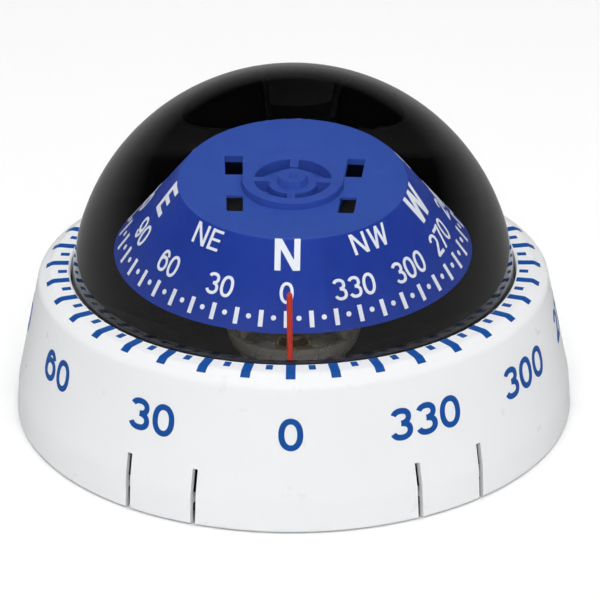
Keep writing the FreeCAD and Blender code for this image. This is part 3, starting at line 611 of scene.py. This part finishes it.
def card_print():
    """Degree marks, degrees and compass points on the card's cone."""
    place = (Matrix.Translation(PIVOT) @ Matrix.Rotation(-CARD_HEADING, 4, "Z")
             @ Matrix.Rotation(-CARD_DIP, 4, "X") @ Matrix.Translation(-PIVOT))
    tree = surface_tree("card", place)
    shape = bmesh.new()
    run, fall = CARD_RIM_RADIUS - CARD_TOP_RADIUS, CARD_TOP - CARD_RIM
    slant = math.hypot(run, fall)

    def on_cone(azimuth, radius):
        """spot for artwork whose centre lies at that azimuth and radius on the cone."""
        def spot(x, y):
            out = radius - y * run / slant
            height = CARD_TOP - (out - CARD_TOP_RADIUS) / run * fall
            direction = compass_direction(azimuth - x / out)
            start = direction * (CARD_RIM_RADIUS + RAY_START) + Vector((0, 0, height))
            return hit(tree, start, -direction)
        return spot

    inner, outer, wide = CARD_BAR
    for angle in range(0, 360, TICK_STEP):
        azimuth = math.radians(angle)
        if angle % (2 * TICK_STEP):
            print_on(shape, dot(CARD_DOT[1]), on_cone(azimuth, CARD_DOT[0]))
        else:
            print_on(shape, bar(wide, (outer - inner) * slant / run),
                     on_cone(azimuth, (inner + outer) / 2))
    numbers = {angle: str(angle) for angle in range(0, 360, NUMBER_STEP)}
    for texts, style, radius in ((numbers, CARD_NUMBER, CARD_NUMBER_RADIUS),
                                 (CARD_MARKS, CARD_LETTER, CARD_LETTER_RADIUS),
                                 (CARD_SMALL_MARKS, CARD_SMALL_LETTER, CARD_SMALL_LETTER_RADIUS)):
        for angle, text in texts.items():
            print_on(shape, word(text, **style), on_cone(math.radians(angle), radius))
    ink_piece("card_print", shape, CARD_INK, "card", place)


dome()
ring_print()
card_print()


# ---------------------------------------------------------------- floor, light and camera
FLOOR_RADIUS = 1.6
FLOOR_DROP = 0.05 * MM                               # the floor lies this far below the deck
BACKDROP_HEIGHT = 1.2
BACKDROP_FLARE = 1.1                                 # its top radius over the floor's
HAZE_TOP = 0.75                                      # where the surround fades to black
HAZE_GLOW = 0.30                                     # its strength at the floor


def floor():
    """A plain pale round floor."""
    shape = bmesh.new()
    bmesh.ops.create_circle(shape, cap_ends=True, segments=128, radius=FLOOR_RADIUS)
    paint = surface("floor_paint", (0.93, 0.93, 0.93), (0.92, 0.92, 0.92),
                    (0.55, 0.6), (3, 8, 900), 1e-6, Specular_IOR_Level=0.1)
    piece = new_object("floor", shape, [paint], Matrix.Translation((0, 0, -FLOOR_DROP)))
    piece.visible_glossy = False
    return piece


def backdrop(paint):
    """A pale wall far behind, which closes the view where the camera looks along the floor."""
    shape = bmesh.new()
    bmesh.ops.create_cone(shape, cap_ends=False, segments=128, radius1=FLOOR_RADIUS,
                          radius2=FLOOR_RADIUS * BACKDROP_FLARE, depth=BACKDROP_HEIGHT)
    bmesh.ops.translate(shape, verts=shape.verts, vec=(0, 0, BACKDROP_HEIGHT / 2))
    piece = new_object("backdrop", shape, [paint])
    piece.visible_diffuse = False
    piece.visible_glossy = False
    piece.visible_transmission = False
    piece.visible_shadow = False
    return piece


def surround():
    """What the polished dome mirrors: a dim studio that is darker above the floor."""
    shape = bmesh.new()
    bmesh.ops.create_cone(shape, cap_ends=False, segments=96, radius1=FLOOR_RADIUS,
                          radius2=FLOOR_RADIUS, depth=HAZE_TOP)
    bmesh.ops.translate(shape, verts=shape.verts, vec=(0, 0, HAZE_TOP / 2))
    bmesh.ops.create_circle(shape, cap_ends=True, segments=96, radius=FLOOR_RADIUS)
    bmesh.ops.translate(shape, verts=shape.verts, vec=(0, 0, -2 * FLOOR_DROP))
    haze = bpy.data.materials.new("haze")
    haze.use_nodes = True
    tree = haze.node_tree
    tree.nodes.remove(tree.nodes["Principled BSDF"])
    glow = tree.nodes.new("ShaderNodeEmission")
    height = tree.nodes.new("ShaderNodeSeparateXYZ")
    tree.links.new(object_space(tree), height.inputs[0])
    tree.links.new(spread(tree, height.outputs["Z"], HAZE_GLOW, 0.0, 0.0, HAZE_TOP),
                   glow.inputs["Strength"])
    tree.links.new(glow.outputs[0], tree.nodes["Material Output"].inputs["Surface"])
    piece = new_object("surround", shape, [haze])
    piece.visible_camera = False
    piece.visible_diffuse = False
    piece.visible_transmission = False
    piece.visible_shadow = False


def group(name, pieces):
    """A collection that a lamp can be limited to."""
    made = bpy.data.collections.new(name)
    for piece in pieces:
        made.objects.link(piece)
    return made


def area_light(name, place, target, size, power, receivers=None):
    """A soft lamp; one limited to its receivers is also mirrored by them."""
    lamp = bpy.data.lights.new(name, "AREA")
    lamp.shape = "DISK"
    lamp.size = size
    lamp.energy = power
    lit = bpy.data.objects.new(name, lamp)
    lit.location = place
    lit.rotation_euler = (Vector(target) - Vector(place)).to_track_quat("-Z", "Y").to_euler()
    lit.visible_glossy = receivers is not None
    if receivers is not None:
        lit.light_linking.receiver_collection = receivers
    bpy.context.scene.collection.objects.link(lit)


CUP_NODES = ("pivot_cup", "pivot_post", "pivot_needle")
METAL_NODES = ("post_nut", "counterweight", "frame_pins", "ring_pins", "jewel_cup", "dome_screws",
               "capsule_screws", "cover_screws", "fill_plug", "magnet_west", "magnet_east")


def lights(studio):
    """Soft studio lamps and a pale world; the metal under the dome has lamps of its own."""
    middle = (0, 0, 0.03)
    area_light("overhead", (0.0, -0.15, 1.3), middle, 1.3, 9.6)
    area_light("front", (0.05, -1.2, 0.95), middle, 1.1, 7.4)
    area_light("left", (-1.2, 0.1, 0.8), middle, 0.9, 0.8)
    area_light("right", (1.2, 0.1, 0.8), middle, 0.9, 1.1)
    area_light("floor_wash", (0.0, 0.3, 1.9), (0.0, 0.3, 0.0), 1.6, 5.0, group("studio", studio))
    metals = group("metals", [nodes[name] for name in METAL_NODES])
    area_light("metal_overhead", (0.0, -0.6, 1.1), middle, 1.3, 9.0, metals)
    # low light that reaches the cup, between the rim of the card and the course ring
    cup = group("cup", [nodes[name] for name in CUP_NODES])
    for name, across in (("cup_left", -0.75), ("cup_front", 0.1), ("cup_right", 0.75)):
        area_light(name, (across, -1.0, 0.58), middle, 0.4, 8.0, cup)
    world = bpy.data.worlds.new("studio")
    bpy.context.scene.world = world
    world.use_nodes = True
    sky = world.node_tree.nodes["Background"]
    sky.inputs["Color"].default_value = (1.0, 1.0, 1.0, 1.0)
    sky.inputs["Strength"].default_value = 0.35
    world.cycles_visibility.glossy = False


CAMERA_DISTANCE = 627.55 * MM
CAMERA_ELEVATION = math.radians(25.296)
CAMERA_AZIMUTH = math.radians(1.1857)
CAMERA_AIM = Vector((0, 0, RING_TOP))
# yaw, pitch and roll away from the aim, radians
CAMERA_TURNS = (-0.0020296, -0.0114419, 0.0061562)
LENS = 195.73                                        # millimetres, as Blender's cameras take it
SENSOR = 36.0


def camera():
    """The photograph's view: round the compass, above level, then turned off its aim."""
    lens = bpy.data.cameras.new("camera")
    lens.lens = LENS
    lens.sensor_width = SENSOR
    eye = bpy.data.objects.new("camera", lens)
    up_hill = CAMERA_ELEVATION
    offset = Vector((0, -math.cos(up_hill), math.sin(up_hill))) * CAMERA_DISTANCE
    forward = Vector((0, math.cos(up_hill), -math.sin(up_hill)))
    right = Vector((1, 0, 0))
    up = right.cross(forward)
    yaw, pitch, roll = CAMERA_TURNS
    turn = Matrix.Rotation(yaw, 3, up)
    forward, right = turn @ forward, turn @ right
    turn = Matrix.Rotation(pitch, 3, right)
    forward, up = turn @ forward, turn @ up
    turn = Matrix.Rotation(roll, 3, forward)
    right, up = turn @ right, turn @ up
    swing = Matrix.Rotation(CAMERA_AZIMUTH, 3, "Z")
    axes = Matrix((swing @ right, swing @ up, swing @ -forward)).transposed()
    eye.matrix_world = Matrix.Translation(swing @ offset + CAMERA_AIM) @ axes.to_4x4()
    bpy.context.scene.collection.objects.link(eye)
    bpy.context.scene.camera = eye


floor_piece = floor()
lights([floor_piece, backdrop(floor_piece.data.materials[0])])
surround()
camera()
bpy.context.scene.view_settings.view_transform = "Standard"
